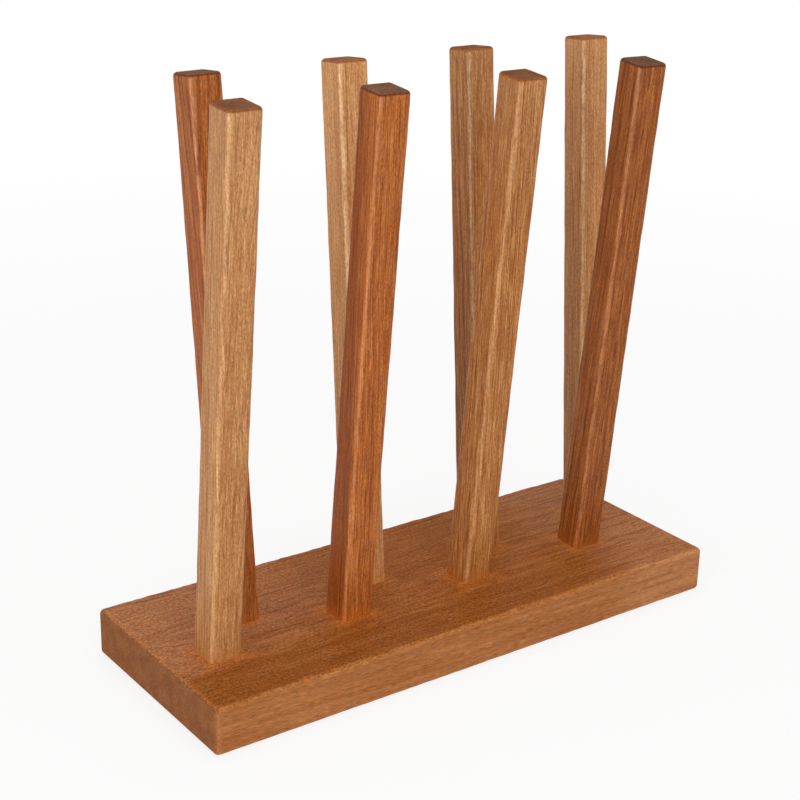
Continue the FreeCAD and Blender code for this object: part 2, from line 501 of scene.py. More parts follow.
class OakSurface:
    """The patterns of one piece of oiled oak, and the shader that they make.

    Attributes:
        oak: The finish.
        log: Where the piece lay in its tree.
        node: Adds a node to the material, as add_node does.
        place: A point of the surface, in metres.
        wood: The same point in millimetres from the middle line of the tree, with Z up the tree.
        shifted: That point, shifted so that no two pieces match.
        steep: How squarely the surface cuts across the grain: 1 on end grain, 0 on faces along it.
        ring: The yearly rings, as a number that grows by 1 a ring from the heart outwards.
        line: Rows of pores.
        fleck: Single pores.
        streak: Light and dark streaks.
        fibre: Bundles of fibres.
        grit: Sanded spots.
        rubbed_highlight: How much rubbing and painted highlight the surface gets: 1 in the middle of a
            rounded
        edge, 0 on flat faces.
    """

    # The numbers in braces are inputs of a Map Range. Nearly all of a noise lies in this range.
    SPREAD = {1: 0.3, 2: 0.7}
    # Width of the slow waves in the rings in millimetres. Their noise strays a quarter from its middle,
    # and the gain makes that the full sway.
    SWAY_WIDTH_MM = 55.0
    SWAY_GAIN = 4.0
    # How fast good and bad years follow each other, and how many rings they shift.
    WEATHER_PACE = 0.35
    WEATHER_RINGS = 3.0
    # Where in a ring its row of pores is thickest, and where it ends.
    ROW_PEAK = 0.2
    ROW_END = 0.6
    # Where the noise breaks a row, and how much of the row is left there.
    ROW_BREAKS = {1: 0.38, 2: 0.62, 3: 0.15}
    # Sizes in millimetres of the cells that hold one pore each.
    PORE_CELL_MM = (1.5, 1.5, 8.0)
    # How far a pore reaches in its cell, outside a row and inside one, and how soft its border is.
    PORE_REACH = {1: 0.0, 2: 0.8, 3: 0.32, 4: 0.5}
    PORE_BORDER = {1: 0.0, 2: -0.15}
    # How squarely the surface cuts the grain where the dark rim starts and ends, where the end grain
    # takes over its colour, and where it takes over its roughness.
    RIM_STARTS = {1: 0.15, 2: 0.45}
    RIM_ENDS = {1: 0.9, 2: 0.6}
    END_STARTS = {1: 0.5, 2: 0.85, 4: 0.95}
    ROUGH_STARTS = {1: 0.3, 2: 0.8}
    # How far the fibres change the roughness either way.
    FIBRE_ROUGHNESS = 0.05
    # Where the pores of the end grain show in their noise, and how strong its rings, its pores and its
    # pale patches are.
    SPOTS = {1: 0.4, 2: 0.6}
    END_SHARES = (0.3, 0.5, 0.15)
    # Where the noise spares a rounded edge from rubbing and its painted highlight, and how much of both it
    # gets there.
    RUB_SPARES = {1: 0.36, 2: 0.6, 3: 0.3}
    # Where the colour turns paler above the middle of a pattern, and deeper below it.
    PALER = {1: 0.5, 2: 0.7}
    DEEPER = {1: 0.5, 2: 0.3}
    # Half the width of the border between heartwood and sapwood in rings, and how deep the heartwood is.
    HEARTWOOD_BORDER = 2.0
    HEARTWOOD_SHARE = 0.55
    # Heights between which a post's top takes on its painted sheen, in metres, and how much of it shows.
    TOP_SHEEN_HEIGHTS = {1: 0.38, 2: 0.5}
    TOP_SHEEN_SHARE = 0.2
    # How closely the oil and the painted glow at a post's foot keep to it, and how much of them shows.
    POOLED_GLOW_FOCUS = 1.5
    POOLED_GLOW_SHARE = 0.5

    def __init__(self, tree: bpy.types.NodeTree, oak: OiledOak, log: Log) -> None:
        """Add the patterns to a material's tree.

        Args:
            tree: The material's node tree.
            oak: The finish.
            log: Where the piece lay in its tree.
        """
        self.oak = oak
        self.log = log
        self.node = partial(add_node, tree)
        coords = self.node("ShaderNodeTexCoord").node.outputs
        self.place = coords["Object"]
        tree_frame = {"Location": log.heart, "Rotation": log.euler, "Scale": (MM, MM, MM)}
        mapping = {"Vector": self.place, **tree_frame}
        self.wood = self.node("ShaderNodeMapping", mapping, vector_type="TEXTURE")
        self.shifted = self.node(VECTOR, {0: self.wood, 1: log.offset}, operation="ADD")
        facing = {0: coords["Normal"], 1: log.up_the_tree}
        lengthwise = self.node(VECTOR, facing, out="Value", operation="DOT_PRODUCT")
        self.steep = self.node(MATH, {0: lengthwise}, operation="ABSOLUTE")
        self.ring = self._rings()
        self.line = self._pore_rows()
        self.fleck = self._pores()
        self.streak = self._noise(*oak.streak_mm, detail=1.0)
        self.fibre = self._noise(*oak.fibre_mm, detail=3.0)
        self.grit = self._noise(*oak.grit_mm, detail=1.0)
        self.rubbed_highlight = self._rubbed_highlight_edge()

    def shader(self) -> Socket:
        """Make the shader.

        The fibres change the roughness a little, the end grain is much rougher, and the rubbed edges
        carry a polished film. Pores are hollows in the relief, and bundles of fibres are its ridges.

        Returns:
            The shader's output.
        """
        oak = self.oak
        node = self.node
        levels = {3: oak.roughness + self.FIBRE_ROUGHNESS, 4: oak.roughness - self.FIBRE_ROUGHNESS}
        lengthwise = node(RANGE, {0: self.fibre, **self.SPREAD, **levels}, **SMOOTH)
        rise = oak.end_roughness - oak.roughness
        across = node(RANGE, {0: self.steep, **self.ROUGH_STARTS, 4: rise}, **SMOOTH)
        hollow = node(MATH, {0: self.fleck, 1: self.line}, operation="MAXIMUM")
        height = node(MATH, {0: hollow, 1: -1.0, 2: self.fibre}, operation="MULTIPLY_ADD")
        relief = {"Height": height, "Strength": oak.relief, "Distance": oak.relief_mm * MM}
        inputs = {
            "Base Color": self._colour(),
            "Roughness": node(MATH, {0: lengthwise, 1: across}, operation="ADD"),
            "IOR": oak.ior,
            "Specular IOR Level": oak.gloss,
            "Normal": node("ShaderNodeBump", relief),
        }
        if oak.polish:
            film = oak.rubbed_highlight * self.log.wear_highlight * oak.polish
            inputs["Coat Weight"] = node(MATH, {0: self.rubbed_highlight, 1: film}, operation="MULTIPLY")
            inputs["Coat Roughness"] = oak.polish_roughness
        return node("ShaderNodeBsdfPrincipled", inputs)

    def _colour(self) -> Socket:
        """Lay the colours over each other, from the ground up to the end grain and the sanded spots.

        Returns:
            The colour of the surface.
        """
        oak = self.oak
        node = self.node
        colour = self._toned(self._ground(), self.streak, oak.streak)
        colour = self._toned(colour, self.fibre, oak.fibre)
        colour = self._aged(colour)
        colour = self._coated(colour, [(self.line, oak.line, oak.pore), (self.fleck, oak.fleck, oak.pore)])
        colour = self._finished(colour)
        # The worn colour also holds a painted highlight on the rounded edges, and the pooled colour is oil
        # at a post's foot lightened into a painted glow of bounced light.
        joint = node("ShaderNodeAttribute", out="Fac", attribute_name=JOINT)
        pooled_glow = node(MATH, {0: joint, 1: self.POOLED_GLOW_FOCUS}, operation="POWER")
        coats = [
            (self.rubbed_highlight, oak.rubbed_highlight * self.log.wear_highlight, oak.worn_highlight),
            (pooled_glow, self.POOLED_GLOW_SHARE, oak.pooled_glow),
            (self._rim(), oak.soaked, oak.rim),
        ]
        colour = self._coated(colour, coats)
        end = node(RANGE, {0: self.steep, **self.END_STARTS}, **SMOOTH)
        colour = node(MIX, {SHARE: end, COLOUR_A: colour, COLOUR_B: self._end_colour()}, **COLOURS)
        # The tone is raised on the back row as painted light, against the shade that the front row casts on
        # it.
        tones = {3: self.log.tone * (1.0 - oak.grit), 4: self.log.tone * (1.0 + oak.grit)}
        fine = node(RANGE, {0: self.grit, **self.SPREAD, **tones}, **SMOOTH)
        return node(VECTOR, {0: colour, "Scale": fine}, operation="SCALE")

    def _ground(self) -> Socket | Colour:
        """The colour beneath everything."""
        return linear(self.oak.ground)

    def _aged(self, colour: Socket) -> Socket:
        """Lighten a post's top with its painted sheen and darken its heartwood, where it has them.

        Args:
            colour: Colour so far.

        Returns:
            The new colour.
        """
        coats = []
        if self.oak.top_sheen:
            height = self.node("ShaderNodeSeparateXYZ", {0: self.place}, out="Z")
            top = self.node(RANGE, {0: height, **self.TOP_SHEEN_HEIGHTS}, **SMOOTH)
            coats.append((top, self.TOP_SHEEN_SHARE, self.oak.top_sheen))
        if self.log.heartwood_rings:
            outside = self.log.heartwood_rings + self.HEARTWOOD_BORDER
            inside = self.log.heartwood_rings - self.HEARTWOOD_BORDER
            heartwood = self.node(RANGE, {0: self.ring, 1: outside, 2: inside}, **SMOOTH)
            coats.append((heartwood, self.HEARTWOOD_SHARE, self.oak.deep))
        return self._coated(colour, coats)

    def _finished(self, colour: Socket) -> Socket:
        """The colour over the pores, which is the colour so far on a post."""
        return colour

    def _rings(self) -> Socket:
        """Count the yearly rings from the heart outwards.

        The distance from the middle line is divided by the ring width. A slow noise bends the middle
        line, and another makes some years wider than others.

        Returns:
            A number that grows by 1 a ring.
        """
        oak = self.oak
        node = self.node
        waves = (1 / self.SWAY_WIDTH_MM, 1 / self.SWAY_WIDTH_MM, 1 / oak.sway_length_mm)
        slow = node(VECTOR, {0: self.shifted, 1: waves}, operation="MULTIPLY")
        bend = node(NOISE, {"Vector": slow, "Scale": 1.0, "Detail": 2.0}, out="Color")
        reach = (self.SWAY_GAIN * oak.sway_mm, self.SWAY_GAIN * oak.sway_mm, 0.0)
        sway = node(VECTOR, {0: bend, 1: reach, 2: self.wood}, operation="MULTIPLY_ADD")
        across = node(VECTOR, {0: sway, 1: (1.0, 1.0, 0.0)}, operation="MULTIPLY")
        radius = node(VECTOR, {0: across}, out="Value", operation="LENGTH")
        years = node(MATH, {0: radius, 1: 1 / oak.ring_mm}, operation="MULTIPLY")
        seasons = {"W": years, "Scale": self.WEATHER_PACE, "Detail": 1.0}
        weather = node(NOISE, seasons, noise_dimensions="1D")
        return node(MATH, {0: weather, 1: self.WEATHER_RINGS, 2: years}, operation="MULTIPLY_ADD")

    def _pore_rows(self) -> Socket:
        """Draw the rows of pores at the start of each ring.

        A row rises and falls within a ring, and a noise breaks it into dashes along the grain.

        Returns:
            How thick the pores stand, from 0 to 1.
        """
        node = self.node
        phase = node(MATH, {0: self.ring}, operation="FRACT")
        rise = node(RANGE, {0: phase, 2: self.ROW_PEAK}, **SMOOTH)
        fall = node(RANGE, {0: phase, 1: self.ROW_END, 2: self.ROW_PEAK}, **SMOOTH)
        row = node(MATH, {0: rise, 1: fall}, operation="MULTIPLY")
        dash = self._noise(wide=2.2, long=30.0, detail=2.0)
        broken = node(RANGE, {0: dash, **self.ROW_BREAKS}, **SMOOTH)
        return node(MATH, {0: row, 1: broken}, operation="MULTIPLY")

    def _pores(self) -> Socket:
        """Draw single pores: cells about 1 mm across and 8 mm long, thicker where a row of them runs.

        Real pores are 0.3 mm wide. They are drawn three times as wide, or they would not show.

        Returns:
            1 in a pore, 0 between them.
        """
        node = self.node
        scale = tuple(1 / size for size in self.PORE_CELL_MM)
        cells = node(VECTOR, {0: self.shifted, 1: scale}, operation="MULTIPLY")
        away = node("ShaderNodeTexVoronoi", {"Vector": cells, "Scale": 1.0}, out="Distance")
        reach = node(RANGE, {0: self.line, **self.PORE_REACH}, **SMOOTH)
        gap = node(MATH, {0: away, 1: reach}, operation="SUBTRACT")
        return node(RANGE, {0: gap, **self.PORE_BORDER}, **SMOOTH)

    def _rim(self) -> Socket:
        """Find the rounded edge between a long face and the end grain, which drinks the most oil.

        Returns:
            1 on that edge, 0 on the faces beside it.
        """
        start = self.node(RANGE, {0: self.steep, **self.RIM_STARTS}, **SMOOTH)
        stop = self.node(RANGE, {0: self.steep, **self.RIM_ENDS}, **SMOOTH)
        return self.node(MATH, {0: start, 1: stop}, operation="MULTIPLY")

    def _end_colour(self) -> Socket:
        """Colour the end grain: rings across it as soft bands, and open pores as spots 2 mm across.

        Returns:
            The colour.
        """
        phase = self.node(MATH, {0: self.ring, 1: 1.0}, operation="PINGPONG")
        band = self.node(RANGE, {0: phase}, **SMOOTH)
        pores = self._noise(wide=1.8, long=40.0, detail=4.0)
        spot = self.node(RANGE, {0: pores, **self.SPOTS}, **SMOOTH)
        patches = self._noise(wide=14.0, long=200.0, detail=1.0)
        cloud = self.node(RANGE, {0: patches, **self.SPREAD}, **SMOOTH)
        coats = zip((band, spot, cloud), self.END_SHARES, (self.oak.deep, self.oak.pore, self.oak.pale))
        return self._coated(linear(self.oak.end), coats)

    def _rubbed_highlight_edge(self) -> Socket:
        """Find the rounded edges, uneven along the grain as hand sanding leaves them, for wear, polish and
        painted highlight.

        Returns:
            1 in the middle of an edge, 0 on flat faces.
        """
        arris = self.node("ShaderNodeAttribute", out="Fac", attribute_name=ARRIS)
        middle = self.node(MATH, {0: arris, 1: self.oak.rub_focus}, operation="POWER")
        hand = self._noise(wide=2.4, long=16.0, detail=3.0)
        uneven = self.node(RANGE, {0: hand, **self.RUB_SPARES}, **SMOOTH)
        return self.node(MATH, {0: middle, 1: uneven}, operation="MULTIPLY")

    def _noise(self, wide: float, long: float, detail: float) -> Socket:
        """Make a random pattern that is drawn out along the grain.

        Args:
            wide: Width of its spots, in millimetres.
            long: Their length along the grain, in millimetres.
            detail: Number of finer patterns in it.

        Returns:
            The pattern, from 0 to 1 and mostly near 0.5.
        """
        scale = (1 / wide, 1 / wide, 1 / long)
        drawn = self.node(VECTOR, {0: self.shifted, 1: scale}, operation="MULTIPLY")
        return self.node(NOISE, {"Vector": drawn, "Scale": 1.0, "Detail": detail})

    def _toned(self, colour: Socket | Colour, pattern: Socket, strength: float) -> Socket:
        """Make a colour paler where a pattern is above 0.5 and deeper where it is below.

        Args:
            colour: Colour so far.
            pattern: The pattern.
            strength: How far the colour goes to the pale or the deep one, from 0 to 1.

        Returns:
            The new colour.
        """
        light = self.node(RANGE, {0: pattern, **self.PALER}, **SMOOTH)
        dark = self.node(RANGE, {0: pattern, **self.DEEPER}, **SMOOTH)
        return self._coated(colour, [(light, strength, self.oak.pale), (dark, strength, self.oak.deep)])

    def _coated(
        self, colour: Socket | Colour, coats: Iterable[tuple[Socket, float, str]]
    ) -> Socket | Colour:
        """Lay coats of colour over each other, each covering a pattern times a share.

        Args:
            colour: Colour so far.
            coats: For each coat its pattern, its share and its colour.

        Returns:
            The new colour.
        """
        for pattern, share, coat in coats:
            cover = self.node(MATH, {0: pattern, 1: share}, operation="MULTIPLY")
            mixed = {SHARE: cover, COLOUR_A: colour, COLOUR_B: linear(coat)}
            colour = self.node(MIX, mixed, **COLOURS)
        return colour


class PlankSurface(OakSurface):
    """The patterns of the board, which differ between its top, its sides and its right end.

    Attributes:
        below: 1 on the sides, 0 on the top face.
        bold: How bold the figure of the top is: 0 left of the middle, 1 near the right end.
        sheen_amount: How much painted sheen the top gets, from 0 to 0.9.
        shade_amount: How much painted shade it gets, from 0 to 0.9.
    """

    # Heights between which the sides take over from the top, on the rounded edge, in metres.
    SIDE_STARTS = {1: 0.044, 2: 0.040}
    # Places along the board between which the figure gets bolder, in metres, and how bold it gets.
    BOLD_STARTS = {1: 0.02, 2: 0.2}
    BOLD_SHARE = 0.55
    # How much of the sanded spots the bold figure hides.
    BOLD_CALM = 0.4
    # How much of the painted shade lies over the grain, how far the sides lean to their own colour, and how
    # strong their veins are.
    SHADE_OVER_GRAIN = 0.35
    SIDE_SHARE = 0.5
    SIDE_VEINS = 0.32
    # How much of the single pores shows on the sides.
    SIDE_FLECKS = 0.3
    # How far the streaks shift the border of the painted shade in metres, and where across the board it
    # lies.
    SHADE_STRAY = (0.0, 0.05, 0.0)
    SHADE_BAND = {1: -0.01, 2: -0.05, 4: 0.9}
    # How far the streaks shift the borders of the painted sheen, in metres. It lies left of one place along
    # the board and behind a slanting line across it, and right of another place.
    SHEEN_STRAY = (0.06, 0.06, 0.0)
    SHEEN_SLANT = -0.2
    SHEEN_LEFT = {1: 0.05, 2: -0.19, 4: 0.9}
    SHEEN_BACK = {1: 0.0, 2: 0.07}
    SHEEN_RIGHT = {1: 0.17, 2: 0.24, 4: 0.8}

    def __init__(self, tree: bpy.types.NodeTree, oak: OiledPlank, log: Log) -> None:
        """Add the patterns to the material's tree, and change them where the sides and the right end differ.

        Args:
            tree: The material's node tree.
            oak: The finish.
            log: Where the board lay in its tree.
        """
        super().__init__(tree, oak, log)
        node = self.node
        axes = node("ShaderNodeSeparateXYZ", {0: self.place}).node.outputs
        self.below = node(RANGE, {0: axes["Z"], **self.SIDE_STARTS}, **SMOOTH)
        faint = node(MATH, {0: self.fleck, 1: self.SIDE_FLECKS}, operation="MULTIPLY")
        self.fleck = self._on_sides(self.fleck, faint)
        self.fibre = self._on_sides(self.fibre, self._noise(wide=1.2, long=60.0, detail=4.0))
        self.grit = self._on_sides(self.grit, self._noise(wide=0.5, long=8.0, detail=2.0))
        right = node(RANGE, {0: axes["X"], **self.BOLD_STARTS}, **SMOOTH)
        self.bold = self._on_sides(right, 0.0)
        calm = node(MATH, {0: self.bold, 1: self.BOLD_CALM}, operation="MULTIPLY")
        self.grit = node(MIX, {SHARE: calm, NUMBER_A: self.grit, NUMBER_B: 0.5})
        self.sheen_amount = self._painted_sheen()
        self.shade_amount = self._painted_shade()

    def _ground(self) -> Socket:
        """Colour the ground with the painted sheen and shade of the top, and a bolder figure towards the
        right end.

        Returns:
            The colour.
        """
        oak = self.oak
        coats = [(self.shade_amount, 1.0, oak.shaded_band), (self.sheen_amount, 1.0, oak.sheen_patch)]
        colour = self._coated(linear(oak.ground), coats)
        figure = self._noise(wide=3.2, long=140.0, detail=2.0)
        vein = self.node(MIX, {SHARE: self.bold, NUMBER_A: 0.5, NUMBER_B: figure})
        return self._toned(colour, vein, self.BOLD_SHARE)

    def _finished(self, colour: Socket) -> Socket:
        """Lay the painted shade over the grain of the top's front, and give the sides their colour and
        veins.

        Args:
            colour: Colour so far.

        Returns:
            The new colour.
        """
        oak = self.oak
        coats = [(self.shade_amount, self.SHADE_OVER_GRAIN, oak.shaded_band), (self.below, self.SIDE_SHARE, oak.side)]
        vein = self._on_sides(0.5, self._noise(wide=4.0, long=75.0, detail=3.0))
        return self._toned(self._coated(colour, coats), vein, self.SIDE_VEINS)

    def _on_sides(self, top: Socket | float, sides: Socket | float) -> Socket:
        """One pattern on the top face and another on the sides."""
        return self.node(MIX, {SHARE: self.below, NUMBER_A: top, NUMBER_B: sides})

    def _painted_shade(self) -> Socket:
        """Find the band along the front of the top that gets painted shade, but not where the painted sheen
        lies.

        Returns:
            How much painted shade it gets, from 0 to 0.9.
        """
        node = self.node
        strayed = {0: self.streak, 1: self.SHADE_STRAY, 2: self.place}
        shift = node(VECTOR, strayed, operation="MULTIPLY_ADD")
        depth = node("ShaderNodeSeparateXYZ", {0: shift}, out="Y")
        band = node(RANGE, {0: depth, **self.SHADE_BAND}, **SMOOTH)
        return node(MIX, {SHARE: self.sheen_amount, NUMBER_A: band, NUMBER_B: 0.0})

    def _painted_sheen(self) -> Socket:
        """Find the back left quarter and the right end of the top, which get a painted sheen.

        The streaks of the wood make the borders uneven.

        Returns:
            How much painted sheen it gets, from 0 to 0.9.
        """
        node = self.node
        strayed = {0: self.streak, 1: self.SHEEN_STRAY, 2: self.place}
        shift = node(VECTOR, strayed, operation="MULTIPLY_ADD")
        axes = node("ShaderNodeSeparateXYZ", {0: shift}).node.outputs
        slant = node(MATH, {0: axes["X"], 1: self.SHEEN_SLANT, 2: axes["Y"]}, operation="MULTIPLY_ADD")
        left = node(RANGE, {0: axes["X"], **self.SHEEN_LEFT}, **SMOOTH)
        back = node(RANGE, {0: slant, **self.SHEEN_BACK}, **SMOOTH)
        corner = node(MATH, {0: left, 1: back}, operation="MULTIPLY")
        right = node(RANGE, {0: axes["X"], **self.SHEEN_RIGHT}, **SMOOTH)
        return node(MATH, {0: corner, 1: right}, operation="MAXIMUM")


@dataclass(frozen=True)
class StainlessSteel:
    """Stainless steel, cold headed and rolled into a screw: bright, with faint turning marks.

    Attributes:
        name: Name of the material.
        colour: Colour of the bright metal.
        stain: Colour of the duller marks.
        roughness: Lowest and highest roughness.
        marks_per_metre: Number of turning marks in a metre, which puts them 1.1 mm apart.
        relief_mm: Depth of the marks.
        relief: How much of that depth the light shows, from 0 to 1.
    """

    name: str = "Stainless steel, cold headed and rolled"
    colour: str = "b9b6b0"
    stain: str = "8f8b84"
    roughness: tuple[float, float] = (0.24, 0.42)
    marks_per_metre: float = 900.0
    relief_mm: float = 0.05
    relief: float = 0.1

    def material(self) -> bpy.types.Material:
        """Make the material.

        Returns:
            The material.
        """
        material, tree = new_material(self.name)
        node = partial(add_node, tree)
        place = node("ShaderNodeTexCoord", out="Object")
        marks = node(NOISE, {"Vector": place, "Scale": self.marks_per_metre, "Detail": 3.0})
        smooth, rough = self.roughness
        metal = {SHARE: marks, COLOUR_A: linear(self.colour), COLOUR_B: linear(self.stain)}
        relief = {"Height": marks, "Strength": self.relief, "Distance": self.relief_mm * MM}
        inputs = {
            "Base Color": node(MIX, metal, **COLOURS),
            "Metallic": 1.0,
            "Roughness": node(RANGE, {0: marks, 3: smooth, 4: rough}),
            "Normal": node("ShaderNodeBump", relief),
        }
        shader = node("ShaderNodeBsdfPrincipled", inputs)
        node("ShaderNodeOutputMaterial", {"Surface": shader})
        return material


class Oak(Enum):
    """The oak of each piece. The slot in the record is the first value."""

    # In each oak below, the worn colour carries a painted highlight on the rounded edges, and the pooled
    # colour a painted glow of bounced light at the posts' feet. The board's colour for its back left and
    # right end is a painted sheen, its colour for the front band is painted shade, and a post's colour for
    # its top is a painted sheen.
    BOARD = (
        "oak_board",
        OiledPlank(
            name="Oak, planed and oiled, base board",
            ground="a45e25",
            pale="b67c4a",
            deep="803e12",
            pore="6c320c",
            end="7a5238",
            rim="8e4c1c",
            worn_highlight="c89664",
            pooled_glow="d07c36",
            sheen_patch="b87c52",
            shaded_band="94521c",
            side="966642",
            ring_mm=3.2,
            sway_mm=7.0,
            sway_length_mm=110.0,
            streak_mm=(10.0, 200.0),
            fibre_mm=(0.9, 60.0),
            streak=0.15,
            fibre=0.55,
            line=0.5,
            fleck=0.2,
            grit=0.33,
            grit_mm=(1.2, 2.4),
            rubbed_highlight=0.24,
            rub_focus=1.4,
            soaked=0.35,
            roughness=0.55,
            gloss=0.06,
            polish=0.0,
        ),
    )
    PALE = (
        "oak_pale",
        OiledOak(
            name="Oak, planed and oiled, straw coloured",
            ground="aa7546",
            pale="c89a66",
            deep="92582a",
            pore="7a4016",
            end="643c24",
            rim="7c3e18",
            worn_highlight="d8b284",
            pooled_glow="b06c30",
            top_sheen="b89064",
            streak=0.24,
            fibre=0.58,
            line=0.5,
            fleck=0.3,
        ),
    )
    TAN = (
        "oak_tan",
        OiledOak(
            name="Oak, planed and oiled, tan",
            ground="a16632",
            pale="c28c54",
            deep="824416",
            pore="6e320e",
            end="623a28",
            rim="8a4818",
            worn_highlight="caa67d",
            pooled_glow="a85a1c",
            top_sheen="ae8862",
            streak=0.2,
            fibre=0.8,
        ),
    )
    RUSSET = (
        "oak_russet",
        OiledOak(
            name="Oak, planed and oiled, russet heartwood",
            ground="884817",
            pale="ab6d38",
            deep="6a2f09",
            pore="522003",
            end="5a483a",
            rim="451705",
            worn_highlight="c08557",
            pooled_glow="a0521a",
            streak=0.24,
            fibre=0.62,
        ),
    )

    @property
    def slot(self) -> str:
        """The record's material slot."""
        return self.value[0]

    @property
    def finish(self) -> OiledOak:
        """The finish."""
        return self.value[1]


# ---------------------------------------------------------------------------------------------------
# The rack
# ---------------------------------------------------------------------------------------------------


@dataclass(frozen=True)
class Hole:
    """Stepped hole for a screw in the board, along Z from the flat face of the screw's head.

    Attributes:
        bore: Radius of the counterbore.
        head: Radius of the head.
        rim: Height of the head's straight rim.
        passage: Radius of the hole for the thread.
        below: How far the cutter reaches down past the head.
        above: How far it reaches up past the head.
        around: Number of points round it.
    """

    bore: float = 6.5 * MM
    head: float = 5.8 * MM
    rim: float = 0.6 * MM
    passage: float = 3.25 * MM
    below: float = 12.0 * MM
    above: float = 60.0 * MM
    around: int = 48

    def cutter(self, frame: Matrix) -> tuple[np.ndarray, list]:
        """Make the space of the hole as a closed surface: counterbore, countersink and clearance hole.

        Args:
            frame: Frame of the screw.

        Returns:
            Points and faces, as closed_surface gives them.
        """
        profile = np.array(
            [
                [0.0, -self.below],
                [self.bore, -self.below],
                [self.bore, self.rim],
                [self.head, self.rim],
                [self.passage, self.rim + self.head - self.passage],
                [self.passage, self.above],
                [0.0, self.above],
            ]
        )
        points, faces = turned_surface(profile, self.around)
        return placed(points, frame), faces


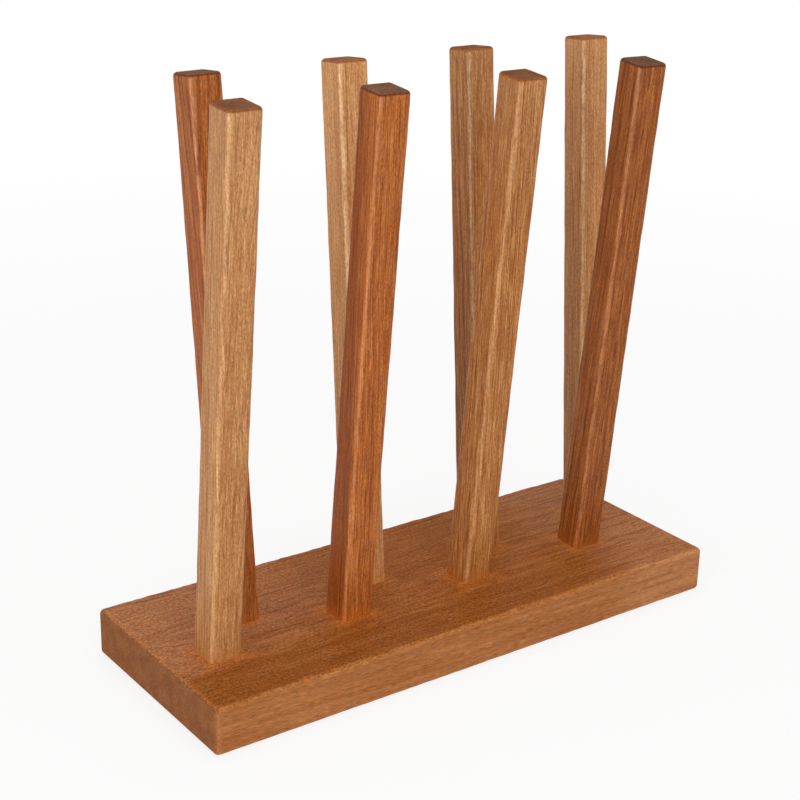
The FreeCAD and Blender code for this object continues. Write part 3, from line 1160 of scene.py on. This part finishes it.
@dataclass(frozen=True)
class BaseBoard:
    """The plank that the posts stand on.

    Attributes:
        length: Size along X.
        width: Size along Y.
        thickness: Size along Z.
        edge_radius: Radius of every edge.
        hand: How far the radius of each long edge strays, as a share of it: first the two round the top.
        hand_waves: Shortest and longest wave in that radius.
        calm: Length at each end over which the radius comes back to its own value.
        ring_spacing: Distance between the rings of its surface.
        end_rings: Number of rings round the edge of each end.
        face_rings: Sizes of the rings on the end faces, as shares of the face.
        wide_steps: Steps across the top and the underside.
        high_steps: Steps across the front and the back.
        corner_gap: Distance from a corner to the point beside it, which keeps the face flat.
        seed: Seed of its hand-made unevenness.
        heart: A point on the middle line of its tree.
        slope_deg: How far its grain slopes from its length.
        offset: Shift of its random patterns, in millimetres.
        oak: Its oak.
    """

    length: float = BOARD_LENGTH
    width: float = 210.0 * MM
    thickness: float = BOARD_THICKNESS
    edge_radius: float = 5.0 * MM
    hand: tuple[float, float, float, float] = (0.14, 0.14, 0.05, 0.05)
    hand_waves: tuple[float, float] = (12.0 * MM, 160.0 * MM)
    calm: float = 20.0 * MM
    ring_spacing: float = 2.5 * MM
    end_rings: int = 7
    face_rings: tuple[float, ...] = (0.25, 0.6, 0.9)
    wide_steps: int = 60
    high_steps: int = 6
    corner_gap: float = 0.6 * MM
    seed: int = 45
    heart: tuple[float, float, float] = (0.0, -12.0 * MM, -55.0 * MM)
    slope_deg: float = 1.2
    offset: tuple[float, float, float] = (310.0, 120.0, 70.0)
    oak: Oak = Oak.BOARD

    def build(self, posts: list[Post]) -> bpy.types.Object:
        """Make the board with its eight holes.

        A rounded rectangle is carried along the board. Towards each end it shrinks by a quarter circle,
        and then to a point in the middle of the end face. The radius of each long edge strays a little,
        as an edge that was rounded by hand does, but comes back to its own value near the ends.

        Args:
            posts: The posts that stand on the board.

        Returns:
            The board.
        """
        rng = np.random.default_rng(self.seed)
        half = self.length / 2 - self.edge_radius
        body = np.linspace(-half, half, int(2 * half / self.ring_spacing) + 1)
        quarter = np.linspace(0.0, math.pi / 2, self.end_rings, endpoint=False)
        end_x = -self.length / 2 + self.edge_radius * (1.0 - np.cos(quarter))
        inset = self.edge_radius * (1.0 - np.sin(quarter))
        x = np.concatenate([end_x, body, -end_x[::-1]])
        inward = np.concatenate([inset, np.zeros_like(body), inset[::-1]])
        stray = np.stack([hand_wave(x, self.hand_waves, rng) for _ in range(4)], -1)
        calm = np.clip((half - np.abs(x)) / self.calm, 0.0, 1.0)[:, None]
        radii = self.edge_radius * (1.0 + np.array(self.hand) * calm * np.clip(stray, -1.0, 1.0))
        wide = self._side_steps(self.width, self.wide_steps)
        high = self._side_steps(self.thickness, self.high_steps)
        halves = np.full_like(x, self.width / 2), np.full_like(x, self.thickness / 2)
        outline, facing, arris = eased_sections(*halves, radii, (wide, high))
        outline = outline - facing * inward[:, None, None]
        rings = np.concatenate([np.broadcast_to(x[:, None, None], outline.shape[:2] + (1,)), outline], -1)
        shares = np.array(self.face_rings)[:, None, None]
        left = rings[:1] * np.where(np.arange(3) == 0, 1.0, shares)
        right = rings[-1:] * np.where(np.arange(3) == 0, 1.0, shares[::-1])
        rings = np.concatenate([left, rings, right]) + np.array([0.0, 0.0, self.thickness / 2])
        first = np.array([x[0], 0.0, self.thickness / 2])
        last = np.array([x[-1], 0.0, self.thickness / 2])
        points, faces = closed_surface(rings, first, last)
        board = mesh_object("board", points, faces)

        turned = np.sin(2.0 * np.concatenate([quarter, np.zeros_like(body), quarter[::-1]]))[:, None]
        flat = np.zeros((len(self.face_rings), len(arris)))
        edges = np.concatenate([flat, np.maximum(arris, turned), flat])
        mark(board, ARRIS, np.concatenate([[0.0], edges.ravel(), [0.0]]))
        near = np.max([post.nearness(points) for post in posts], axis=0)
        mark(board, JOINT, np.where(points[:, 2] > self.thickness - MM, near, 0.0))
        self._drill(board, [post.screw_frame for post in posts])
        return board

    def _side_steps(self, side: float, count: int) -> np.ndarray:
        """Points along a side from 0 to 1: evenly spread, with one close to each corner to keep it flat."""
        close = self.corner_gap / side
        return np.concatenate([[close], np.linspace(0.0, 1.0, count + 1)[1:-1], [1.0 - close]])

    def _drill(self, board: bpy.types.Object, screw_frames: list[Matrix]) -> None:
        """Cut the holes with a Boolean, and keep its result as the board's mesh.

        Args:
            board: The board without its holes.
            screw_frames: The frame of each screw.
        """
        cut_points = []
        cut_faces = []
        for frame in screw_frames:
            points, faces = Hole().cutter(frame)
            start = sum(len(block) for block in cut_points)
            cut_points.append(points)
            cut_faces += [block + start for block in faces]
        cutter = mesh_object("hole_cutter", np.concatenate(cut_points), cut_faces)
        drill = board.modifiers.new("holes", "BOOLEAN")
        drill.operation = "DIFFERENCE"
        drill.solver = "EXACT"
        drill.object = cutter
        graph = bpy.context.evaluated_depsgraph_get()
        drilled = bpy.data.meshes.new_from_object(board.evaluated_get(graph))
        board.modifiers.clear()
        board.data = drilled
        drilled.name = "board"
        smooth_with_creases(drilled)
        bpy.data.objects.remove(cutter)

    def dress(self, board: bpy.types.Object) -> None:
        """Give the board its oak.

        Its rings lie flat in the middle of the top and stand up at its long edges.

        Args:
            board: The board.
        """
        lengthwise = Matrix.Rotation(math.radians(90.0 + self.slope_deg), 3, "Y")
        log = Log(heart=Vector(self.heart), euler=lengthwise.to_euler("XYZ"), offset=self.offset)
        board.data.materials.append(self.oak.finish.material(log))
        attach(board, BODY)
        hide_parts("base_board")
        self.oak.slot


@dataclass(frozen=True)
class Blank:
    """What sets one post apart from the others: its wood, and how it stands.

    Attributes:
        oak: Its oak.
        heart_mm: Where the middle line of its tree passes, from its axis, across and deep.
        tone: How bright its wood is beside that of others from the same oak, raised on the back row
        as painted light against the shade that the front row casts.
        wear_highlight: How much its rounded edges are rubbed, and how strong their painted highlight is,
            beside
        those of others from the same oak.
        heartwood_rings: Number of rings from the heart outwards that are darker heartwood, if any show.
        turn_deg: Turn about its own axis.
        right_deg: Lean to the right.
        extra_deg: Lean beyond that of its row.
        stray: How far its foot stands to the right of its even place.
    """

    oak: Oak
    heart_mm: tuple[float, float]
    tone: float
    wear_highlight: float
    heartwood_rings: int = 0
    turn_deg: float = 0.0
    right_deg: float = 0.0
    extra_deg: float = 0.0
    stray: float = 0.0


@dataclass(frozen=True)
class Post:
    """One square post with eased edges, on the axis of its screw.

    Attributes:
        name: Name of its CAD node.
        foot: Where its axis meets the board's top face.
        lean_deg: Lean away from the other row, as a turn about X.
        blank: What sets it apart from the others.
        seed: Seed of its hand-made unevenness and of its figure.
        side: Width of its faces.
        length: Length along its axis, from the board's top face.
        corner_radius: Radius of its long edges.
        top_radius: Radius of the edge round its top.
        hole_radius: Radius of the screw's hole.
        screw_length: Length of the screw.
        hand: How far the radius of its long edges strays, as a share of it.
        hand_waves: Shortest and longest wave in that radius.
        planed_off: How far inside its size a face lies on average, and how far it strays from there.
        planed_waves: Shortest and longest wave in that distance.
        side_steps: Where the points across a face stand, from 0 to 1.
        foot_rings: Where the first rings above the foot stand, as shares of the spacing.
        top_rings: Sizes of the rings on the top, as shares of it.
        arris_rings: Number of rings up the edge round the top.
        ring_spacing: Distance between the rings of its surface.
        figure_reach: Farthest shift of its random patterns, in millimetres.
        slope_deg: Farthest slope of its grain from its axis.
    """

    name: str
    foot: tuple[float, float, float]
    lean_deg: float
    blank: Blank
    seed: int
    side: float = 31.0 * MM
    length: float = 480.0 * MM
    corner_radius: float = 4.4 * MM
    top_radius: float = 3.8 * MM
    hole_radius: float = 3.05 * MM
    screw_length: float = 100.0 * MM
    hand: float = 0.1
    hand_waves: tuple[float, float] = (30.0 * MM, 400.0 * MM)
    planed_off: float = 0.06 * MM
    planed_waves: tuple[float, float] = (100.0 * MM, 500.0 * MM)
    side_steps: tuple[float, ...] = (0.03, 0.25, 0.5, 0.75, 0.97)
    foot_rings: tuple[float, ...] = (0.25, 0.5, 0.75)
    top_rings: tuple[float, ...] = (0.9, 0.6, 0.3)
    arris_rings: int = 6
    ring_spacing: float = 5.0 * MM
    figure_reach: float = 4000.0
    slope_deg: float = 3.0

    @property
    def frame(self) -> Matrix:
        """The post's frame.

        Returns:
            Its +Z is the axis of the post, and its origin lies on the top face of the board.
        """
        lean = Matrix.Rotation(math.radians(self.lean_deg), 4, "X")
        right = Matrix.Rotation(math.radians(self.blank.right_deg), 4, "Y")
        turn = Matrix.Rotation(math.radians(self.blank.turn_deg), 4, "Z")
        return Matrix.Translation(self.foot) @ lean @ right @ turn

    @property
    def oak(self) -> Oak:
        """The post's oak."""
        return self.blank.oak

    @property
    def head_z(self) -> float:
        """Where the flat face of the screw's head lies on the post's axis."""
        return SCREW_SINK - self.foot[2] / self.frame.to_3x3().col[2].z

    @property
    def screw_frame(self) -> Matrix:
        """The frame of the post's screw, at the flat face of its head."""
        return self.frame @ Matrix.Translation((0.0, 0.0, self.head_z))

    def build(self) -> bpy.types.Object:
        """Make the post as one closed surface with the screw's blind hole in its foot.

        The surface starts at the hole's end, comes down its wall, crosses the foot, which is cut level
        with the board, climbs the four sides and closes over the rounded top. On a side, a point's
        height is its own foot height plus its share of what is left up to the top.

        Returns:
            The post.
        """
        rng = np.random.default_rng(self.seed)
        shoulder = self.length - self.top_radius
        share = np.linspace(0.0, 1.0, int(shoulder / self.ring_spacing) + 1)
        share = np.concatenate([share[:1], share[1] * np.array(self.foot_rings), share[1:]])
        along = share * shoulder
        stray = np.stack([hand_wave(along, self.hand_waves, rng) for _ in range(4)], -1)
        radii = self.corner_radius * (1.0 + self.hand * np.clip(stray, -1.0, 1.0))
        uneven = np.stack([hand_wave(along, self.planed_waves, rng) for _ in range(2)])
        halves = self.side / 2 - self.planed_off * (1.0 + uneven)
        steps = np.array(self.side_steps)
        outline, facing, eased = eased_sections(*halves, radii, (steps, steps))
        foot_height = self._foot_height(outline[0])
        height = foot_height + share[:, None] * (shoulder - foot_height)
        sides = np.concatenate([outline, height[..., None]], -1)

        circle = outline[0] / np.linalg.norm(outline[0], axis=1)[:, None] * self.hole_radius
        hole_end = self.head_z + self.screw_length
        middle = (circle + outline[0]) / 2
        inside = [
            self._flat_ring(circle, hole_end),
            self._flat_ring(circle, self._foot_height(circle)),
            self._flat_ring(middle, self._foot_height(middle)),
        ]
        quarter = np.linspace(0.0, math.pi / 2, self.arris_rings + 1)[1:, None, None]
        inset = outline[-1] - facing[-1] * self.top_radius * (1.0 - np.cos(quarter))
        rise = np.broadcast_to(shoulder + self.top_radius * np.sin(quarter), inset.shape[:2] + (1,))
        arris = np.concatenate([inset, rise], -1)
        cap = [self._flat_ring(inset[-1] * scale, self.length) for scale in self.top_rings]

        rings = np.concatenate([np.stack(inside), sides, arris, np.stack(cap)])
        first = np.array([0.0, 0.0, hole_end + self.hole_radius])
        last = np.array([0.0, 0.0, self.length])
        points, faces = closed_surface(rings, first, last)
        points = placed(points, self.frame)
        post = mesh_object(self.name.replace("post_", "oak_post_"), points, faces)
        edges = np.zeros(rings.shape[:2])
        edges[len(inside) : len(inside) + len(sides)] = eased
        mark(post, ARRIS, np.concatenate([[0.0], edges.ravel(), [0.0]]))
        mark(post, JOINT, 1.0 - (points[:, 2] - self.foot[2]) / JOINT_REACH)
        return post

    def nearness(self, points: np.ndarray) -> np.ndarray:
        """Tell how near points of the board's top are to the post's foot.

        It is the distance from the foot's square, measured along the square's own axes.

        Args:
            points: Points in metres, one to a row.

        Returns:
            For each point 1 at the foot, 0 at JOINT_REACH from it, and less than 0 beyond.
        """
        turn = math.radians(self.blank.turn_deg)
        across = points[:, :2] - np.array(self.foot[:2])
        axes = np.array([[math.cos(turn), -math.sin(turn)], [math.sin(turn), math.cos(turn)]])
        away = np.abs(across @ axes).max(1) - self.side / 2
        return 1.0 - away / JOINT_REACH

    def _foot_height(self, outline: np.ndarray) -> np.ndarray:
        """Height in the post's frame at which points of an outline meet the board's top face."""
        tilt = np.array(self.frame.to_3x3())[2]
        return -(outline[..., 0] * tilt[0] + outline[..., 1] * tilt[1]) / tilt[2]

    def _flat_ring(self, outline: np.ndarray, height: float | np.ndarray) -> np.ndarray:
        """An outline as a ring of points at one height or at a height for each."""
        return np.concatenate([outline, np.broadcast_to(height, len(outline))[:, None]], -1)

    def dress(self, post: bpy.types.Object) -> None:
        """Give the post its oak, with the grain along its axis.

        Args:
            post: The post.
        """
        blank = self.blank
        frame = self.frame
        rng = np.random.default_rng(self.seed)
        offset = tuple(float(value) for value in rng.uniform(0.0, self.figure_reach, 3))
        slopes = [math.radians(float(value)) for value in rng.uniform(-self.slope_deg, self.slope_deg, 2)]
        grain = frame @ Matrix.Rotation(slopes[0], 4, "X") @ Matrix.Rotation(slopes[1], 4, "Y")
        log = Log(
            heart=frame @ Vector((blank.heart_mm[0] * MM, blank.heart_mm[1] * MM, 0.0)),
            euler=grain.to_euler("XYZ"),
            offset=offset,
            tone=blank.tone,
            wear_highlight=blank.wear_highlight,
            heartwood_rings=blank.heartwood_rings,
        )
        post.data.materials.append(self.oak.finish.material(log))
        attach(post, BODY)
        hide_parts(self.name)
        self.oak.slot


@dataclass(frozen=True)
class PostRow:
    """A row of four posts.

    Attributes:
        name: Name of the row in the names of its posts.
        y: Distance of the row from the board's middle line.
        forward: 1 where the row leans forward, -1 where it leans back.
        margins: Distance of the first and of the last post from the board's ends.
        blanks: What sets each post apart, from left to right.
        seed: Seed of the row's first post.
        lean_deg: Lean of the row.
    """

    name: str
    y: float
    forward: int
    margins: tuple[float, float]
    blanks: tuple[Blank, ...]
    seed: int
    lean_deg: float = 5.0

    def posts(self) -> list[Post]:
        """Spread the row's posts evenly between its margins, but for how far each foot strays.

        Returns:
            The posts, from left to right.
        """
        first = self.margins[0] - BOARD_LENGTH / 2
        last = BOARD_LENGTH / 2 - self.margins[1]
        places = np.linspace(first, last, len(self.blanks))
        return [
            Post(
                name=f"post_{self.name}_{number + 1}",
                foot=(float(place) + blank.stray, self.y, BOARD_THICKNESS),
                lean_deg=self.forward * (self.lean_deg + blank.extra_deg),
                blank=blank,
                seed=self.seed + number,
            )
            for number, (place, blank) in enumerate(zip(places, self.blanks))
        ]


@dataclass(frozen=True)
class BootRack:
    """The whole rack: board, two rows of posts and the screws beneath.

    Attributes:
        board: The board.
        front: The row that leans forward.
        back: The row that leans back.
    """

    board: BaseBoard = BaseBoard()
    front: PostRow = PostRow(
        name="front",
        y=-23.5 * MM,
        forward=1,
        margins=(47.0 * MM, 92.0 * MM),
        blanks=(
            Blank(Oak.PALE, (70.0, 75.0), tone=0.97, wear_highlight=0.6, stray=2.0 * MM),
            Blank(Oak.RUSSET, (-65.0, 80.0), tone=1.29, wear_highlight=0.62, heartwood_rings=50, turn_deg=-1.0),
            Blank(Oak.TAN, (75.0, -65.0), tone=0.95, wear_highlight=0.6, right_deg=0.2, extra_deg=0.2),
            Blank(
                Oak.RUSSET, (80.0, 60.0), tone=0.98, wear_highlight=0.72, turn_deg=-4.0, right_deg=0.1, stray=0.8 * MM
            ),
        ),
        seed=11,
    )
    back: PostRow = PostRow(
        name="back",
        y=23.5 * MM,
        forward=-1,
        margins=(96.0 * MM, 43.0 * MM),
        # The back row's tones are raised as painted light against the front row's shade, and its wear sets a
        # stronger painted highlight on its edges.
        blanks=(
            Blank(Oak.RUSSET, (50.0, 60.0), tone=1.22, wear_highlight=1.0, right_deg=-0.5, extra_deg=0.5),
            Blank(Oak.PALE, (-70.0, 70.0), tone=1.22, wear_highlight=1.3),
            Blank(Oak.TAN, (70.0, -60.0), tone=1.03, wear_highlight=1.3, right_deg=0.1, extra_deg=-0.1),
            Blank(Oak.PALE, (-90.0, -75.0), tone=1.18, wear_highlight=1.4, turn_deg=-3.0, right_deg=0.3),
        ),
        seed=21,
    )

    def build(self, nodes: Mapping[str, bpy.types.Object]) -> None:
        """Build and dress every piece, and report each.

        The screws keep their CAD mesh.

        Args:
            nodes: The CAD objects by the names of their nodes.
        """
        posts = self.front.posts() + self.back.posts()
        board = self.board.build(posts)
        self.board.dress(board)
        report(board, "base_board")
        for post in posts:
            shape = post.build()
            post.dress(shape)
            report(shape, post.name)
        screws = nodes["post_screws"]
        screws.data.materials.clear()
        screws.data.materials.append(StainlessSteel().material())
        report(screws, "post_screws")


def report(piece: bpy.types.Object, node: str) -> None:
    """Log a piece's size in points and faces, and how far its box is from its CAD node's.

    Args:
        piece: The piece.
        node: Name of its CAD node.
    """
    low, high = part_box(node)
    corners = np.array([vertex.co for vertex in piece.data.vertices])
    off = max(np.abs(corners.min(0) - low).max(), np.abs(corners.max(0) - high).max()) / MM
    LOG.info(
        "%s: %d points, %d faces, box within %.2f mm of the CAD node",
        piece.name,
        len(piece.data.vertices),
        len(piece.data.polygons),
        off,
    )


# ---------------------------------------------------------------------------------------------------
# Studio
# ---------------------------------------------------------------------------------------------------


def seen_by(tree: bpy.types.NodeTree, rays: Sequence[str]) -> Socket:
    """Tell the rays that see a surface from those that only carry its light.

    Args:
        tree: Node tree that gets the nodes.
        rays: The outputs of the Light Path node that count as seeing it.

    Returns:
        1 for those rays, 0 for all others.
    """
    path = add_node(tree, "ShaderNodeLightPath").node.outputs
    seen = path[rays[0]]
    for ray in rays[1:]:
        seen = add_node(tree, MATH, {0: seen, 1: path[ray]}, operation="MAXIMUM")
    return seen


@dataclass(frozen=True)
class Softbox:
    """Square softbox that faces the middle of the rack.

    Attributes:
        name: Name of the lamp.
        place: Its middle.
        size: Its side.
        watts: Its power.
        aim: The point that it faces.
    """

    name: str
    place: tuple[float, float, float]
    size: float
    watts: float
    aim: tuple[float, float, float] = (0.0, 0.0, 0.25)

    def hang(self) -> None:
        """Put the softbox into the scene."""
        light = bpy.data.lights.new(self.name, "AREA")
        light.shape = "SQUARE"
        light.size = self.size
        light.energy = self.watts
        lamp = bpy.data.objects.new(self.name, light)
        bpy.context.scene.collection.objects.link(lamp)
        lamp.location = self.place
        lamp.rotation_mode = "QUATERNION"
        lamp.rotation_quaternion = (Vector(self.aim) - Vector(self.place)).to_track_quat("-Z", "Y")


@dataclass(frozen=True)
class Studio:
    """Plain pale floor, soft studio light and the camera.

    Attributes:
        floor_reach: Distance from the middle of the floor to its sides.
        floor_drop: How far the floor lies below the board, so that the two don't flicker.
        floor_white: Colour of the floor.
        shade_reach: Distances from the rack between which its soft shade on the floor fades out.
        shade_white: How white the floor looks where that shade is strongest, from 0 to 1.
        sky_light: Strength of the light from all round.
        softboxes: The lamps.
        lens_mm: Focal length of the camera.
        sensor_mm: Width of its sensor.
        azimuth_deg: Turn of the camera round the rack from the front, to the right where it is positive.
        elevation_deg: How far the camera stands above the rack, as an angle.
        roll: Turn of the camera about its own view, in radians.
        distance: Distance of the camera from its target.
        target: The point that the camera faces.
    """

    floor_reach: float = 9.0
    floor_drop: float = 0.2 * MM
    floor_white: str = "f7f7f6"
    shade_reach: tuple[float, float] = (0.5, 2.0)
    shade_white: float = 0.82
    sky_light: float = 0.5
    softboxes: tuple[Softbox, ...] = (
        Softbox("left_softbox", (-3.06, -1.24, 0.6), 1.2, 53.0),
        Softbox("front_softbox", (-0.46, -3.27, 0.6), 1.2, 41.0),
        Softbox("overhead_softbox", (0.0, -0.1, 2.6), 1.6, 20.0),
    )
    lens_mm: float = 75.99
    sensor_mm: float = 36.0
    azimuth_deg: float = -36.31
    elevation_deg: float = 20.67
    roll: float = 0.0244
    distance: float = 1.51206
    target: tuple[float, float, float] = (-0.021615, 0.0, 0.22694)

    def build(self) -> None:
        """Make the floor, the light and the camera."""
        self._floor()
        self._sky()
        for softbox in self.softboxes:
            softbox.hang()
        self._camera()

    def _floor(self) -> None:
        """Lay a square floor just under the board.

        It glows white where it is seen and only scatters light otherwise, so that the board's soft
        shade near the rack stays and the rest looks like the white behind it.
        """
        reach = self.floor_reach
        corners = np.array([(-reach, -reach), (reach, -reach), (reach, reach), (-reach, reach)])
        points = np.column_stack([corners, np.full(4, -self.floor_drop)])
        floor = mesh_object("studio_floor", points, [np.array([[0, 1, 2, 3]])])
        material, tree = new_material("Studio paper, matt white")
        node = partial(add_node, tree)
        matt = node("ShaderNodeBsdfDiffuse", {"Color": linear(self.floor_white)})
        glow = node("ShaderNodeEmission", {"Color": WHITE, "Strength": 1.0})
        place = node("ShaderNodeNewGeometry", out="Position")
        away = node(VECTOR, {0: place}, out="Value", operation="LENGTH")
        near, far = self.shade_reach
        fade = node(RANGE, {0: away, 1: near, 2: far, 3: self.shade_white})
        seen = seen_by(tree, ("Is Camera Ray", "Is Glossy Ray"))
        share = node(MATH, {0: seen, 1: fade}, operation="MULTIPLY")
        paper = node("ShaderNodeMixShader", {0: share, 1: matt, 2: glow})
        node("ShaderNodeOutputMaterial", {"Surface": paper})
        floor.data.materials.append(material)

    def _sky(self) -> None:
        """Light the scene softly from all round, and show white behind it and in reflections."""
        world = bpy.data.worlds.new("studio_world")
        bpy.context.scene.world = world
        world.use_nodes = True
        tree = world.node_tree
        tree.nodes.clear()
        node = partial(add_node, tree)
        seen = seen_by(tree, ("Is Camera Ray", "Is Glossy Ray", "Is Transmission Ray"))
        soft = node("ShaderNodeBackground", {"Color": WHITE, "Strength": self.sky_light})
        white = node("ShaderNodeBackground", {"Color": WHITE, "Strength": 1.0})
        sky = node("ShaderNodeMixShader", {0: seen, 1: soft, 2: white})
        node("ShaderNodeOutputWorld", {"Surface": sky})

    def _camera(self) -> None:
        """Set the camera down at its distance from the target, turned a little about its own view."""
        azimuth = math.radians(self.azimuth_deg)
        elevation = math.radians(self.elevation_deg)
        flat = math.cos(elevation)
        back = Vector((math.sin(azimuth) * flat, -math.cos(azimuth) * flat, math.sin(elevation)))
        right = (-back).cross(Vector((0.0, 0.0, 1.0))).normalized()
        up = right.cross(-back)
        across = right * math.cos(self.roll) + up * math.sin(self.roll)
        upright = up * math.cos(self.roll) - right * math.sin(self.roll)
        data = bpy.data.cameras.new("studio_camera")
        data.lens = self.lens_mm
        data.sensor_width = self.sensor_mm
        camera = bpy.data.objects.new("studio_camera", data)
        bpy.context.scene.collection.objects.link(camera)
        turned = Matrix((across, upright, back)).transposed().to_4x4()
        camera.matrix_world = Matrix.Translation(Vector(self.target) + back * self.distance) @ turned
        bpy.context.scene.camera = camera


def main() -> None:
    logging.basicConfig(level=logging.INFO, format="%(name)s: %(message)s")
    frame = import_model()
    bpy.context.scene.view_settings.view_transform = "Standard"
    BootRack().build(frame["nodes"])
    Studio().build()


if __name__ == "__main__":
    main()
